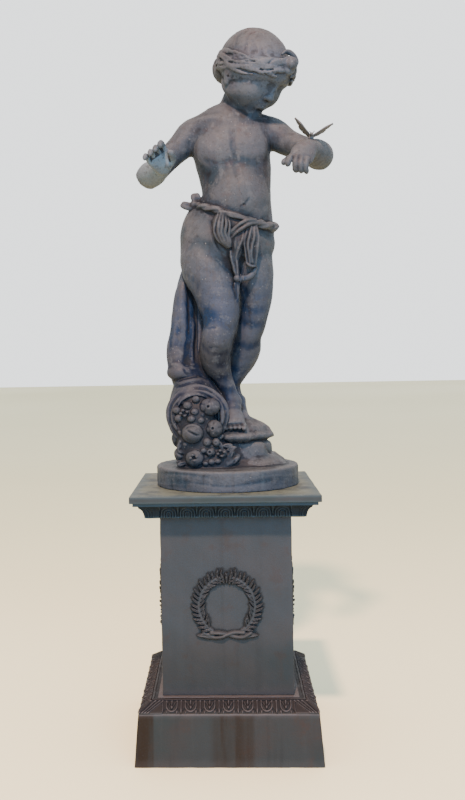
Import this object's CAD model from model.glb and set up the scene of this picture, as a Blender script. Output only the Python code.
"""Weathered cast iron garden statue: a child with a butterfly on one wrist stands on a rock beside
a draped horn that spills fruit, on a round base, on a hollow square pedestal in three castings.

Shapes are worked out in millimetres from the pedestal's own vertical axis, as the castings are
drawn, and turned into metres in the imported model's frame when they become meshes.
"""
import math

import bpy
import numpy as np
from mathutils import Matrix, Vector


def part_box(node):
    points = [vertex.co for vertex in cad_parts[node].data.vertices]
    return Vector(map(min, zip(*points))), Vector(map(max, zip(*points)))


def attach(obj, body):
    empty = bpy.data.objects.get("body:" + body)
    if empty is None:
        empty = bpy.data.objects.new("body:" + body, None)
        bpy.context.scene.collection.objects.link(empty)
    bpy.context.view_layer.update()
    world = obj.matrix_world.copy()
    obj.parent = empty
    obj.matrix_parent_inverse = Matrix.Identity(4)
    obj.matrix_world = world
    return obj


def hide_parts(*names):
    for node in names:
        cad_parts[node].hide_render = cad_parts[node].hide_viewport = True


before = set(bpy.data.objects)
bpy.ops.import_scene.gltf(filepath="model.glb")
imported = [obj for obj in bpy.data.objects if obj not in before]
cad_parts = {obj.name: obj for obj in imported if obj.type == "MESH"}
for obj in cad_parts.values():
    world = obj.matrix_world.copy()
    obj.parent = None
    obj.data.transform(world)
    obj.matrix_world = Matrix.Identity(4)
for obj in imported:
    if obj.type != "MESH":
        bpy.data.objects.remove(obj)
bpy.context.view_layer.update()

import openvdb
from mathutils import Vector

MM = 0.001
DIE_LOW, DIE_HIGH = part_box("pedestal_die")
AXIS = Vector(((DIE_LOW.x + DIE_HIGH.x) / 2, (DIE_LOW.y + DIE_HIGH.y) / 2, 0.0))
X, Y, Z = np.eye(3)
rng = np.random.default_rng(7)


# ------------------------------------------------------------------ camera, lights and floor
def make_camera():
    """Level camera in front, a little above half height, rolled and turned by a degree or two."""
    data = bpy.data.cameras.new("camera")
    data.sensor_width = 36
    data.lens = 42.0
    data.shift_x = 0.0547
    data.shift_y = -0.055
    data.clip_end = 100
    camera = bpy.data.objects.new("camera", data)
    camera.location = AXIS + Vector((5, -2463, 987.5)) * MM
    camera.rotation_euler = (math.radians(90), math.radians(1.0), math.radians(2.2))
    bpy.context.scene.collection.objects.link(camera)
    bpy.context.scene.camera = camera


def area_light(name, place, aim, size, power, colour):
    data = bpy.data.lights.new(name, "AREA")
    data.shape, data.size, data.energy, data.color = "DISK", size, power, colour
    light = bpy.data.objects.new(name, data)
    light.location = place
    light.rotation_euler = (Vector(aim) - Vector(place)).to_track_quat("-Z", "Y").to_euler()
    bpy.context.scene.collection.objects.link(light)


def make_studio():
    """Pale floor and even sky, a small warm light high in front, a wide cool one at head height."""
    world = bpy.data.worlds.new("studio")
    world.use_nodes = True
    sky = world.node_tree.nodes["Background"]
    sky.inputs["Color"].default_value = (0.955, 0.985, 1.0, 1)
    sky.inputs["Strength"].default_value = 2.05
    bpy.context.scene.world = world
    area_light("key", (-0.5, -3.6, 5.18), (0, 0, 0.8), 0.35, 1200, (1.0, 0.63, 0.43))
    area_light("fill", (0.9, -4.2, 1.7), (0, 0, 0.9), 3.2, 300, (0.12, 0.52, 1.0))

    bpy.ops.mesh.primitive_plane_add(size=60)
    floor = bpy.context.object
    floor.name = "floor"
    floor.data.materials.append(floor_material())


def floor_material():
    made, nodes, links, shader = new_material("floor_pale")
    shader.inputs["Roughness"].default_value = 0.8
    noise, tones = nodes.new("ShaderNodeTexNoise"), nodes.new("ShaderNodeValToRGB")
    noise.inputs["Scale"].default_value = noise.inputs["Detail"].default_value = 6
    for element, place, colour in zip(tones.color_ramp.elements, (0.3, 0.7),
                                      ((0.55, 0.51, 0.31), (0.63, 0.59, 0.39))):
        element.position, element.color = place, (*colour, 1)
    links.new(noise.outputs["Fac"], tones.inputs["Fac"])
    links.new(tones.outputs["Color"], shader.inputs["Base Color"])
    return made


# ------------------------------------------------------------------ material helpers
def new_material(name):
    made = bpy.data.materials.new(name)
    made.use_nodes = True
    nodes, links = made.node_tree.nodes, made.node_tree.links
    return made, nodes, links, nodes["Principled BSDF"]


# ------------------------------------------------------------------ carving on a grid
# A shape has low and high corners, and a distance that is right near its surface, up to the margin.
FAR = 60.0      # taken as the distance wherever no shape is near


def spline(points, samples):
    """Rows of a smooth curve through the points, at even parameter steps."""
    p = np.asarray(points, dtype=float)
    last = len(p) - 2
    p = np.vstack([2 * p[0] - p[1], p, 2 * p[-1] - p[-2]])
    t = np.linspace(0, last + 1, samples)
    i = np.minimum(t.astype(int), last)
    f = (t - i)[:, None]
    a, b, c, d = p[i], p[i + 1], p[i + 2], p[i + 3]
    return 0.5 * (2 * b + (c - a) * f + (2 * a - 5 * b + 4 * c - d) * f**2 + (3 * b - a - 3 * c + d) * f**3)


def unit(vector):
    vector = np.asarray(vector, dtype=float)
    return vector / np.linalg.norm(vector)


def smooth_min(a, b, blend):
    if blend <= 0:
        return np.minimum(a, b)
    near = np.maximum(blend - np.abs(a - b), 0) / blend
    return np.minimum(a, b) - near * near * (blend / 4)


def oval_distance(parts, sizes):
    """Distance to an oval with the given half sizes, from coordinates along its axes."""
    first = np.sqrt(sum((p / s) ** 2 for p, s in zip(parts, sizes)))
    second = np.sqrt(sum((p / s**2) ** 2 for p, s in zip(parts, sizes)))
    return first * (first - 1) / np.maximum(second, 1e-6)


class Ball:
    """An ellipsoid with half sizes along three axes."""

    def __init__(self, centre, size, axes=(X, Y, Z)):
        self.centre = np.asarray(centre, dtype=float)
        self.size = np.broadcast_to(np.asarray(size, dtype=float), 3)
        self.axes = axes
        reach = np.sqrt(sum((np.asarray(a) * s) ** 2 for a, s in zip(axes, self.size)))
        self.low, self.high = self.centre - reach, self.centre + reach

    def distance(self, grid, margin):
        x, y, z = (g - c for g, c in zip(grid, self.centre))
        parts = [x * a[0] + y * a[1] + z * a[2] for a in self.axes]
        return oval_distance(parts, self.size)


class Limb:
    """A section swept through stations [x, y, z, half width, half depth], or [x, y, z, radius].

    It is oval, with its width turned as near to the direction across as its path allows. Flutes
    are a function of the angle round it and the share of its length, which scales it.
    """

    def __init__(self, stations, across=X, samples=None, flutes=None, cap=0.6):
        full = [[*s, s[3]] if len(s) == 4 else list(s) for s in stations]
        rows = spline(full, samples or 4 * len(full))
        self.path, self.half = rows[:, :3], np.maximum(rows[:, 3:], 0.6)
        self.across, self.flutes, self.cap = np.asarray(across, dtype=float), flutes, cap
        reach = self.half.max(axis=1)[:, None]
        self.low = (self.path - reach).min(axis=0)
        self.high = (self.path + reach).max(axis=0)
        along = np.gradient(self.path, axis=0)
        along /= np.linalg.norm(along, axis=1, keepdims=True)
        self.wide = self.across - along * (along @ self.across)[:, None]
        self.wide /= np.linalg.norm(self.wide, axis=1, keepdims=True)
        self.deep = np.cross(along, self.wide)

    def distance(self, grid, margin):
        gx, gy, gz = grid
        d = np.full((gx.shape[0], gy.shape[1], gz.shape[2]), FAR, np.float32)
        count = len(self.path) - 1
        for i in range(count):
            a, b = self.path[i], self.path[i + 1]
            length = np.linalg.norm(b - a)
            if length < 1e-6:
                continue
            direction = (b - a) / length
            reach = self.half[i:i + 2].max() + margin
            window, (x, y, z) = cropped(grid, np.minimum(a, b) - reach, np.maximum(a, b) + reach)
            x, y, z = x - a[0], y - a[1], z - a[2]
            along = x * direction[0] + y * direction[1] + z * direction[2]
            t = np.clip(along / length, 0, 1)
            u, v = (self._across(turning, i, t, (x, y, z)) for turning in (self.wide, self.deep))
            w_size = self.half[i, 0] + t * (self.half[i + 1, 0] - self.half[i, 0])
            d_size = self.half[i, 1] + t * (self.half[i + 1, 1] - self.half[i, 1])
            if self.flutes:
                scale = self.flutes(np.arctan2(v / d_size, u / w_size), (i + t) / count)
                w_size, d_size = w_size * scale, d_size * scale
            end = self.cap * np.minimum(w_size, d_size)
            section = oval_distance((u, v, along - t * length), (w_size, d_size, end))
            d[window] = np.minimum(d[window], section)
        return d

    @staticmethod
    def _across(turning, i, t, place):
        """The coordinate along one direction of the section, which turns from station to station."""
        first, second = (sum(p * c for p, c in zip(place, turning[k])) for k in (i, i + 1))
        return first + t * (second - first)


def cropped(grid, low, high):
    """The window of a grid between two corners, and its coordinates."""
    window, axes = [], []
    for k, g in enumerate(grid):
        line = g.reshape(-1)
        first, last = np.searchsorted(line, (low[k], high[k]))
        window.append(slice(first, last))
        axes.append(g[tuple(slice(first, last) if n == k else slice(None) for n in range(3))])
    return tuple(window), axes


def lobes(count, depth, twist):
    """Flutes round a limb that turn as they run along it."""
    return lambda angle, t: 1 + depth * np.cos(count * angle + twist * t)


class Carving:
    """A signed distance field on a grid, negative inside."""

    def __init__(self, low, high, step):
        self.step = step
        self.low = np.asarray(low, dtype=float)
        counts = np.ceil((np.asarray(high) - self.low) / step).astype(int) + 1
        self.field = np.full(counts, FAR, np.float32)
        lines = [(self.low[k] + step * np.arange(n)).astype(np.float32) for k, n in enumerate(counts)]
        self.grid = np.ix_(*lines)

    def _join(self, shape, blend, sign):
        margin = blend + 3 * self.step
        window, grid = cropped(self.grid, shape.low - margin, shape.high + margin)
        joined = smooth_min(sign * self.field[window], shape.distance(grid, margin), blend)
        self.field[window] = sign * joined

    def add(self, shape, blend=0.0):
        self._join(shape, blend, 1)

    def cut(self, shape, blend):
        self._join(shape, blend, -1)

    def limb(self, stations, samples, blend=0.0, **shape):
        self.add(Limb(stations, samples=samples, **shape), blend)

    def ball(self, centre, size, blend):
        self.add(Ball(centre, size), blend)

    def strokes(self, lines, *how):
        """Strokes given as [points, width, height]."""
        for line, width, height in lines:
            self.stroke(line, width, height, *how)

    def soften(self, rounds):
        """Smooths the whole field, so that masses run into each other."""
        f = self.field
        for _ in range(rounds):
            for axis in range(3):
                g = np.moveaxis(f, axis, 0)
                middle = g[1:-1].copy()
                middle *= 2
                middle += g[:-2]
                middle += g[2:]
                middle *= 0.25
                g[1:-1] = middle

    def keep(self, distance_of):
        """Keeps only what lies where the given function of x, y, z is negative."""
        self.field[...] = np.maximum(self.field, distance_of(*self.grid))

    def stroke(self, points, width, height, through=None, flat=0.2, taper=True, samples=None):
        """Raises (or, below zero, presses) the surface along a curve, fading over the width."""
        path = spline(points, samples or 3 * len(points))
        reach = 2.4 * width
        wide = reach if through is None else reach / flat
        low, high = path.min(axis=0) - reach, path.max(axis=0) + reach
        if through is not None:
            spread = np.abs(np.asarray(through)) * wide
            low, high = low - spread, high + spread
        window, grid = cropped(self.grid, low, high)
        near = np.full(self.field[window].shape, 9.0, np.float32)
        strength = np.zeros_like(near)
        count = len(path) - 1
        for i in range(count):
            a, b = path[i], path[i + 1]
            length = max(np.linalg.norm(b - a), 1e-6)
            direction = (b - a) / length
            lo, hi = np.minimum(a, b) - reach, np.maximum(a, b) + reach
            if through is not None:
                lo, hi = lo - spread, hi + spread
            part, (x, y, z) = cropped(grid, lo, hi)
            x, y, z = x - a[0], y - a[1], z - a[2]
            t = np.clip((x * direction[0] + y * direction[1] + z * direction[2]) / length, 0, 1)
            x, y, z = (c - t * length * n for c, n in zip((x, y, z), direction))
            apart = x * x + y * y + z * z
            if through is not None:
                behind = x * through[0] + y * through[1] + z * through[2]
                apart = apart - behind**2 * (1 - flat**2)
            apart = apart / width**2
            s = (i + t) / count
            share = (1 - np.abs(2 * s - 1) ** 3) if taper else np.ones_like(s)
            closer = apart < near[part]
            near[part] = np.where(closer, apart, near[part])
            strength[part] = np.where(closer, share, strength[part])
        self.field[window] -= height * strength * np.exp(-near)


class Block:
    """Rock or round base: a wavy oval ring with half sizes, scaled at [height, share] levels."""

    def __init__(self, centre, half, levels, waves=(), rounding=0.0):
        self.centre, self.half, self.waves, self.rounding = np.asarray(centre, float), half, waves, rounding
        self.heights, self.shares = np.asarray(levels, dtype=float).T
        reach = np.array([half[0], half[1], 0]) * self.shares.max() * 1.25
        self.low = np.array([*self.centre, self.heights[0]]) - reach
        self.high = np.array([*self.centre, self.heights[-1]]) + reach

    def distance(self, grid, margin):
        x, y, z = grid
        x, y = (x - self.centre[0]) / self.half[0], (y - self.centre[1]) / self.half[1]
        angle = np.arctan2(y, x)
        share = np.interp(z, self.heights, self.shares)
        for count, depth, turn, climb in self.waves:
            share = share * (1 + depth * np.sin(count * angle + turn + climb * z))
        side = (np.hypot(x, y) - share) * min(self.half)
        level = np.maximum(z - self.heights[-1], self.heights[0] - z)
        if self.rounding:
            r = self.rounding
            outer = np.hypot(np.maximum(side + r, 0), np.maximum(level + r, 0)) - r
            return np.where((side > -r) & (level > -r), outer, np.maximum(side, level))
        return np.maximum(side, level)


# ------------------------------------------------------------------ figure
HEAD = np.array((98.0, -40.0, 1736.0))
TURN, BOW = math.radians(50), math.radians(40)
FACE = np.array((math.sin(TURN) * math.cos(BOW), -math.cos(TURN) * math.cos(BOW), -math.sin(BOW)))
CROWN = np.array((math.sin(TURN) * math.sin(BOW), -math.cos(TURN) * math.sin(BOW), math.cos(BOW)))
EAR = np.cross(FACE, CROWN)     # towards the figure's right ear
HEAD_AXES = (EAR, FACE, CROWN)
SKULL = (80.0, 98.0, 92.0)


def head_point(side, forward, up):
    return HEAD + EAR * side + FACE * forward + CROWN * up


def head_ball(side, forward, up, size):
    return Ball(head_point(side, forward, up), size, HEAD_AXES)


def around_head(azimuth, up, out):
    """A point at an azimuth in degrees from the face towards the right ear, off the skull."""
    a = math.radians(azimuth)
    level = math.sqrt(max(1 - (up / (SKULL[2] + out)) ** 2, 0.02))
    return head_point((SKULL[0] + out) * level * math.sin(a), (SKULL[1] + out) * level * math.cos(a), up)


def carve_torso(figure):
    figure.limb([
        [50, 14, 1660, 38, 38], [45, 12, 1630, 50, 46], [38, 8, 1602, 90, 56], [34, 4, 1574, 112, 62],
        [32, 0, 1542, 106, 65], [34, -4, 1509, 100, 66], [40, -6, 1470, 96, 64], [43, -8, 1427, 91, 66],
        [43, -10, 1395, 91, 72], [38, -6, 1362, 102, 76], [30, 0, 1335, 116, 80], [20, 4, 1303, 125, 84],
        [16, 8, 1268, 122, 82], [19, 8, 1234, 105, 68], [22, 8, 1200, 66, 46]
    ], 72)
    for centre, size, blend in (
        ((-12, -43, 1520), (44, 17, 32), 36),   # right breast
        ((80, -44, 1526), (38, 16, 30), 36),    # left breast
        ((46, -46, 1400), (62, 42, 60), 34),    # belly
        ((-24, 48, 1528), (34, 22, 46), 26),    # shoulder blades
        ((94, 48, 1530), (34, 22, 46), 26),
    ):
        figure.ball(centre, size, blend)
    figure.limb([
        [46, 14, 1610, 54, 48], [49, 12, 1640, 43, 42], [55, 6, 1672, 38, 38], [63, -6, 1706, 40, 42],
        [72, -18, 1740, 40, 44]
    ], 14, 12)


def carve_legs(figure):
    figure.limb([
        [-24, 10, 1300, 24, 30], [-41, 2, 1254, 61, 64], [-41, -8, 1222, 64, 69], [-28, -20, 1182, 62, 64],
        [-13, -34, 1140, 57, 58], [-4, -44, 1100, 50, 52], [-6, -50, 1062, 43, 47],
        [-14, -50, 1030, 41, 46], [-19, -36, 1000, 40, 46], [-15, -24, 968, 35, 42], [-3, -16, 932, 27, 33],
        [10, -12, 900, 23, 29], [18, -14, 872, 24, 30], [22, -20, 850, 24, 30]
    ], 72, 12)
    figure.limb([
        [56, 14, 1300, 24, 30], [74, 10, 1254, 54, 60], [84, 10, 1212, 54, 68], [89, 14, 1172, 48, 63],
        [89, 18, 1136, 44, 57], [84, 22, 1102, 40, 51], [76, 28, 1068, 39, 48], [66, 36, 1038, 38, 47],
        [61, 44, 1006, 41, 49], [52, 50, 978, 38, 46], [37, 54, 944, 29, 37], [24, 56, 912, 22, 30],
        [28, 56, 880, 22, 31], [33, 52, 848, 26, 34]
    ], 72, 8)
    for centre, size, blend in (
        ((-17, -78, 1036), (19, 13, 22), 26),   # kneecaps
        ((68, 2, 1042), (18, 12, 20), 24),
        ((-22, -14, 982), (30, 30, 44), 22),    # calves
        ((52, 76, 992), (28, 24, 44), 22),
    ):
        figure.ball(centre, size, blend)


def carve_foot(figure, stations, toes_from, big, ankle):
    """Heel and instep, ankle bones, and five toes with the big one at +x (big 1) or -x (big -1)."""
    figure.limb(stations, 26, 8)
    for i in (-2, -1, 0, 1, 2):
        x, y, z = toes_from[0] + i * 11.3 * big, toes_from[1] + abs(i - 1) * 2.6, toes_from[2] - abs(i)
        r = 8.2 if i == 2 else 6.4
        figure.limb([
            [x, y + 20, z + 6, r * 0.95], [x, y + 8, z + 3, r * 0.92], [x + 0.6 * big, y, z, r, r * 0.9],
            [x + 0.6 * big, y - 4, z - 0.5, r * 0.86, r * 0.78]
        ], 8, 2, cap=1.0)
        figure.cut(Ball((x + 0.6 * big, y - 8, z + r * 0.78), (r * 0.55, 4.5, 1.8)), 1)
    for side in (-1, 1):
        figure.ball((ankle[0] + side * 20, ankle[1], ankle[2]), (8, 11, 11), 10)


def carve_feet(figure):
    carve_foot(figure, [
        [20, 22, 858, 18, 22], [18, 6, 856, 23, 30], [19, -16, 850, 23, 28], [23, -42, 834, 25, 22],
        [26, -58, 820, 28, 17], [28, -70, 811, 27, 12],
    ], (28, -84, 804), 1, (19, -12, 868))
    carve_foot(figure, [
        [30, 98, 832, 18, 20], [31, 84, 836, 24, 30], [35, 54, 838, 27, 28], [38, 16, 828, 28, 19],
        [40, -4, 822, 29, 15], [40, -14, 818, 27, 12],
    ], (40, -26, 814), -1, (31, 56, 866))


def carve_arms(figure):
    figure.limb([
        [-34, 8, 1590, 34], [-68, 6, 1574, 40], [-98, 0, 1543, 36], [-128, -6, 1514, 32],
        [-156, -12, 1486, 31], [-180, -18, 1464, 33], [-192, -21, 1453, 30]
    ], 26, 14, across=Y)
    figure.limb([
        [-187, -16, 1463, 26], [-182, -40, 1459, 33], [-170, -72, 1457, 33], [-156, -104, 1457, 27],
        [-145, -130, 1459, 22], [-141, -146, 1464, 22]
    ], 22, 10)
    figure.limb([
        [112, 8, 1588, 34], [144, 4, 1570, 40], [172, -8, 1546, 36], [202, -26, 1528, 33],
        [230, -44, 1511, 33], [254, -58, 1496, 36], [268, -65, 1488, 31]
    ], 26, 14, across=Y)
    figure.limb([
        [258, -50, 1494, 28], [254, -74, 1494, 35], [244, -104, 1494, 34], [232, -134, 1494, 28],
        [222, -158, 1492, 24], [216, -172, 1489, 23]
    ], 22, 10)


def carve_creases(figure):
    for line in (
        [(-164, -146, 1462), (-144, -156, 1448), (-122, -140, 1456)],   # wrist creases
        [(-163, -141, 1458), (-146, -148, 1442), (-124, -134, 1450)],
        [(205, -186, 1500), (226, -182, 1488), (228, -160, 1472)],
        [(-170, -34, 1490), (-186, -50, 1484), (-176, -54, 1494)],      # in the elbows' bends
        [(226, -62, 1524), (246, -84, 1530), (262, -86, 1520)],
    ):
        figure.stroke(line, 2.6, -1.6)


def finger(figure, joints, thick, blend=2.5):
    """A finger through its joints, fuller at the pads, with a rounded tip."""
    full = [[*joint, thick * (1 - 0.09 * i)] for i, joint in enumerate(joints)]
    figure.limb(full, 4 * len(full), blend, cap=0.95)
    for a, b in zip(joints[1:-1], joints[2:]):
        middle = [(p + q) / 2 for p, q in zip(a, b)]
        figure.ball(middle, thick * 0.93, 2)


def carve_raised_hand(figure):
    """Open palm to the front, fingers half curled towards it."""
    figure.limb([
        [-139, -144, 1456, 21, 17], [-140, -156, 1462, 27, 16], [-144, -166, 1474, 31, 14],
        [-149, -172, 1486, 28, 11], [-151, -173, 1491, 22, 8]
    ], 16, 6, across=unit((0.86, 0, 0.5)))
    figure.ball((-124, -163, 1468), (12, 10, 16), 9)     # pad of the thumb
    figure.ball((-156, -168, 1468), (12, 9, 18), 9)      # heel of the hand
    for i in range(4):
        x, z = -131 - i * 12.5, 1494 - i * 8
        curl = 1 + i * 0.12
        finger(figure, [[x, -171, z - 6], [x - 7, -184, z + 10 - i * 2],
                        [x - 10, -200 - 2 * curl, z + 12 - i * 2], [x - 11, -211, z + 3 - i * 2]],
               8.0 - i * 0.4, 2)
    finger(figure, [[-121, -158, 1462], [-113, -172, 1472], [-115, -187, 1481], [-120, -195, 1484]], 8.8)
    figure.stroke([(-132, -180, 1484), (-142, -184, 1474), (-146, -182, 1462)], 2.2, -1.6)
    figure.stroke([(-136, -178, 1488), (-150, -182, 1480), (-164, -180, 1470)], 2.0, -1.4)


def carve_lowered_hand(figure):
    """Its back to the front, the middle fingers hanging together."""
    figure.limb([
        [218, -168, 1490, 23, 19], [212, -182, 1483, 27, 18], [203, -194, 1472, 30, 15],
        [196, -202, 1461, 28, 12], [193, -204, 1455, 22, 8]
    ], 16, 6, across=unit((0.82, 0.1, -0.56)))
    for i in range(3):
        x, z = 187 + i * 12.5, 1463 - i * 2
        finger(figure, [[x, -202, z], [x - 4, -214, z - 14], [x - 4, -212, z - 27], [x - 2, -204, z - 33]],
               8.3 - i * 0.4, 2.4)
        figure.ball((x - 1, -209, z - 3), 6.4, 4)
    finger(figure, [[180, -196, 1472], [171, -209, 1460], [166, -215, 1449], [165, -213, 1443]], 7.8)
    finger(figure, [[194, -180, 1474], [174, -192, 1466], [160, -202, 1455], [155, -206, 1449]], 8.2)


# ------------------------------------------------------------------ head
EYE_SIDE, EYE_UP = 29.0, -14.0      # half the face's width apart, at half the head's height
NOSE_FOOT, MOUTH_UP = -49.0, -68.0
FIVE = (-1, -0.5, 0, 0.5, 1)         # even places across a feature


def carve_skull(figure):
    figure.add(head_ball(0, 0, 0, (79, 97, 87)), 10)
    figure.add(head_ball(0, 27, -52, (63, 58, 64)), 18)
    for side in (-1, 1):
        figure.add(head_ball(side * 35, 52, -46, (29, 30, 28)), 20)         # cheek
        figure.add(head_ball(side * 54, 4, -64, (14, 34, 26)), 20)          # jaw
    figure.add(head_ball(0, 58, -97, (21, 20, 17)), 16)                     # chin


def carve_eyes(figure):
    """Sockets, eyeballs and lids under calm brows."""
    for side in (-1, 1):
        across = side * EYE_SIDE
        figure.cut(head_ball(across, 102, EYE_UP + 1, (22, 15, 14)), 12)
        figure.add(head_ball(across, 72, EYE_UP, (16, 15, 14)), 2)
        for up, out, width, height in (
            (5.5, 1.5, 2.6, 3.2),       # upper lid
            (11, -2, 2.2, -1.8),        # fold above it
            (-6.5, 0, 2.4, 2.0),        # lower lid
            (-0.5, 3.2, 1.5, -1.6),     # the line where the lids meet
        ):
            figure.stroke([head_point(across + s * 17, 84 + out - s * s * 9 - s * side * 2,
                                      EYE_UP + up * (1 - s * s)) for s in FIVE], width, height)
        brow = [head_point(across + s * 24, 91 - (s + 0.2 * side) ** 2 * 12 - s * side * 4,
                           EYE_UP + 17 + 3 * (1 - s * s)) for s in FIVE]
        figure.stroke(brow, 6.5, 3.4)


def carve_nose(figure):
    figure.limb([
        [*head_point(0, 80, EYE_UP + 14), 7, 7], [*head_point(0, 87, EYE_UP), 6.5, 7],
        [*head_point(0, 91, EYE_UP - 16), 8, 8], [*head_point(0, 92, NOSE_FOOT + 8), 10, 9]
    ], 16, 8, across=EAR)
    figure.add(head_ball(0, 94.5, NOSE_FOOT + 6, (9.5, 9, 8)), 6)
    for side in (-1, 1):
        figure.add(head_ball(side * 9, 88, NOSE_FOOT + 4, (6.2, 8, 6.2)), 4)
        figure.cut(head_ball(side * 5, 92, NOSE_FOOT - 2.5, (2.6, 3.4, 3)), 1.5)
    figure.stroke([head_point(0, 87, NOSE_FOOT - 3), head_point(0, 86, MOUTH_UP + 8)], 3.2, -1.6)


def carve_mouth(figure):
    """Closed lips: a bowed upper one, a full lower one, tucked corners, and the dip below."""
    figure.add(head_ball(0, 74, MOUTH_UP, (22, 13, 16)), 12)
    bow = [head_point(s * 15, 88 - s * s * 8, MOUTH_UP + 3.6 + 1.4 * math.sin(math.pi * min(abs(s) * 1.6, 1)))
           for s in (-1, -0.66, -0.33, 0, 0.33, 0.66, 1)]
    under = [head_point(s * 13, 87.5 - s * s * 7, MOUTH_UP - 5) for s in FIVE]
    meeting = [head_point(s * 17, 87.5 - s * s * 9, MOUTH_UP - 0.5 + abs(s) * 0.6) for s in FIVE]
    corners = [[head_point(side * 18, 79, MOUTH_UP - 2), head_point(side * 20, 76, MOUTH_UP + 2)]
               for side in (-1, 1)]
    dip = [head_point(s * 12, 80, MOUTH_UP - 15) for s in (-1, 0, 1)]
    figure.strokes(((bow, 2.8, 3.0), (under, 3.6, 3.6), (meeting, 1.5, -2.4), (corners[0], 3, -1.8),
                    (corners[1], 3, -1.8), (dip, 4.5, -2.2)))


def carve_ears(figure):
    """Rim, bowl and lobe, the upper part under the hair."""
    for side in (-1, 1):
        figure.add(head_ball(side * 72, 0, -42, (7, 13, 25)), 5)
        figure.cut(head_ball(side * 80, 3, -38, (5, 7.5, 14)), 2)
        figure.stroke([head_point(side * out, forward, up) for out, forward, up in (
            (77, 12, -44), (79, 11, -26), (79, 0, -19), (79, -11, -28), (77, -10, -46), (74, -2, -60))],
            3, 2.6)
        figure.add(head_ball(side * 72, 3, -62, (6, 7, 8)), 3)


ROLL_PLACES = (4, 24, 43, 62, 83, 103, 122, 142, 162)
ROLL_HEIGHTS = (38, 34, 19, 4, -10, -18, -24, -36, -44)


def roll_height(azimuth):
    return np.interp(azimuth, ROLL_PLACES, ROLL_HEIGHTS)


def on_roll(side, azimuth, up, lift):
    """A point on the roll of hair, which lies flatter towards the back."""
    return around_head(side * azimuth, up, lift * (1 - 0.0026 * abs(azimuth)))


def lock(figure, side, places, thick, blend):
    """A lock of hair through [azimuth, height, lift] places off the skull, fullest in its middle."""
    swell = 0.5 + 0.5 * np.sin(np.pi * np.linspace(0.08, 0.92, len(places)))
    stations = [[*on_roll(side, a, up, lift), thick * s, thick * 0.6 * s]
                for (a, up, lift), s in zip(places, swell)]
    figure.limb(stations, 4 * len(stations), blend, across=CROWN, cap=1.0)


def carve_hair(figure):
    """A smooth crown, and a tousled roll from the forelock over each temple to the bun."""
    figure.add(head_ball(0, -6, 2, (83, 98, 88)), 3)
    for side in (-1, 1):
        places = np.linspace(3, 160, 12)
        roll = [[*around_head(side * a, roll_height(a), 3 - 0.03 * a), 25 - 0.02 * a, 12 - 0.03 * a]
                for a in places]
        figure.limb(roll, 40, 18, across=CROWN)
        for row, offset in enumerate((21, 14, 7, 0, -7, -14)):
            start = 2 + 9 * (row % 3)
            while start < 142:
                span, wave, turn = rng.uniform(34, 58), rng.uniform(3, 6.5), rng.uniform(0, 6.28)
                tilt, thick = rng.uniform(-9, 9), rng.uniform(4.6, 6.8)
                places = []
                for t in np.linspace(0, 1, 8):
                    a = start + span * t
                    up = roll_height(a) + offset + wave * math.sin(5.5 * t + turn) + tilt * (t - 0.5)
                    places.append((a, up, 7 + 8 * math.sqrt(max(1 - (offset / 29) ** 2, 0.1))))
                lock(figure, side, places, thick, 2.6)
                start += span * rng.uniform(0.5, 0.75)
        carve_grooves(figure, side)
    figure.add(head_ball(0, 100, 58, (18, 16, 17)), 4)
    for places in (((16, 66, 6), (4, 76, 10), (-9, 75, 17), (-14, 63, 22), (-8, 52, 21), (2, 52, 16)),
                   ((-16, 50, 10), (-8, 40, 16), (4, 38, 18), (12, 46, 14)),
                   ((-20, 68, 8), (-10, 60, 20), (0, 62, 25), (6, 70, 20))):
        lock(figure, 1, places, 7.5, 2.4)
    carve_bun(figure)
    carve_curls(figure)


def carve_grooves(figure, side):
    """The deep partings between the locks, and the edge of the roll over the crown."""
    for line, width, depth in (
        (((-2, 72), (12, 70), (23, 64), (36, 47), (41, 34), (58, 32)), 2.6, -3.4),
        (((49, 18), (40, 11), (29, 9)), 2.2, -3.2),
        (((27, 38), (18, 46), (8, 51)), 2.2, -3.0),
        (((18, 28), (8, 20), (-8, 26)), 2.2, -3.0),
        (((66, -12), (56, -4), (47, 2)), 2.2, -3.2),
        (((74, -26), (60, -16), (47, -9), (35, -6)), 2.4, -3.2),
        (((96, -20), (84, -8), (70, 4), (62, 14)), 2.2, -3.0),
        (((118, -16), (104, -2), (90, 12)), 2.2, -2.6),
    ):
        for lift in (12, 16):
            figure.stroke([on_roll(side, a, up, lift) for a, up in line], width, depth / 1.6, samples=20)
    for _ in range(40):
        start, up = rng.uniform(4, 128), rng.uniform(-17, 26)
        wave, turn, span = rng.uniform(2, 6), rng.uniform(0, 6.28), rng.uniform(16, 34)
        line = [on_roll(side, start + span * t,
                        roll_height(start + span * t) + up + wave * math.sin(5 * t + turn), 15)
                for t in np.linspace(0, 1, 6)]
        figure.stroke(line, 2.0, -2.6, samples=18)
    spiral = [around_head(side * (32 + 6 * (1 - 0.7 * t) * math.cos(7 * t)),
                          16 + 9 * (1 - 0.7 * t) * math.sin(7 * t), 16) for t in np.linspace(0, 1, 12)]
    figure.stroke(spiral, 2.0, -3.0, samples=36)


def carve_bun(figure):
    figure.add(head_ball(3, -74, -50, (46, 40, 42)), 5)
    for k in range(-5, 6):
        line = []
        for t in np.linspace(-1.25, 1.25, 9):
            a = math.radians(17 * k + 10 * math.sin(2 * t) + rng.uniform(-3, 3))
            line.append(head_point(3 + 46 * math.sin(a) * math.cos(t), -74 - 40 * math.cos(a) * math.cos(t),
                                   -50 + 42 * math.sin(t)))
        figure.stroke(line, 2.6, -3.0 if k % 2 else -1.8, samples=24)


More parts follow.
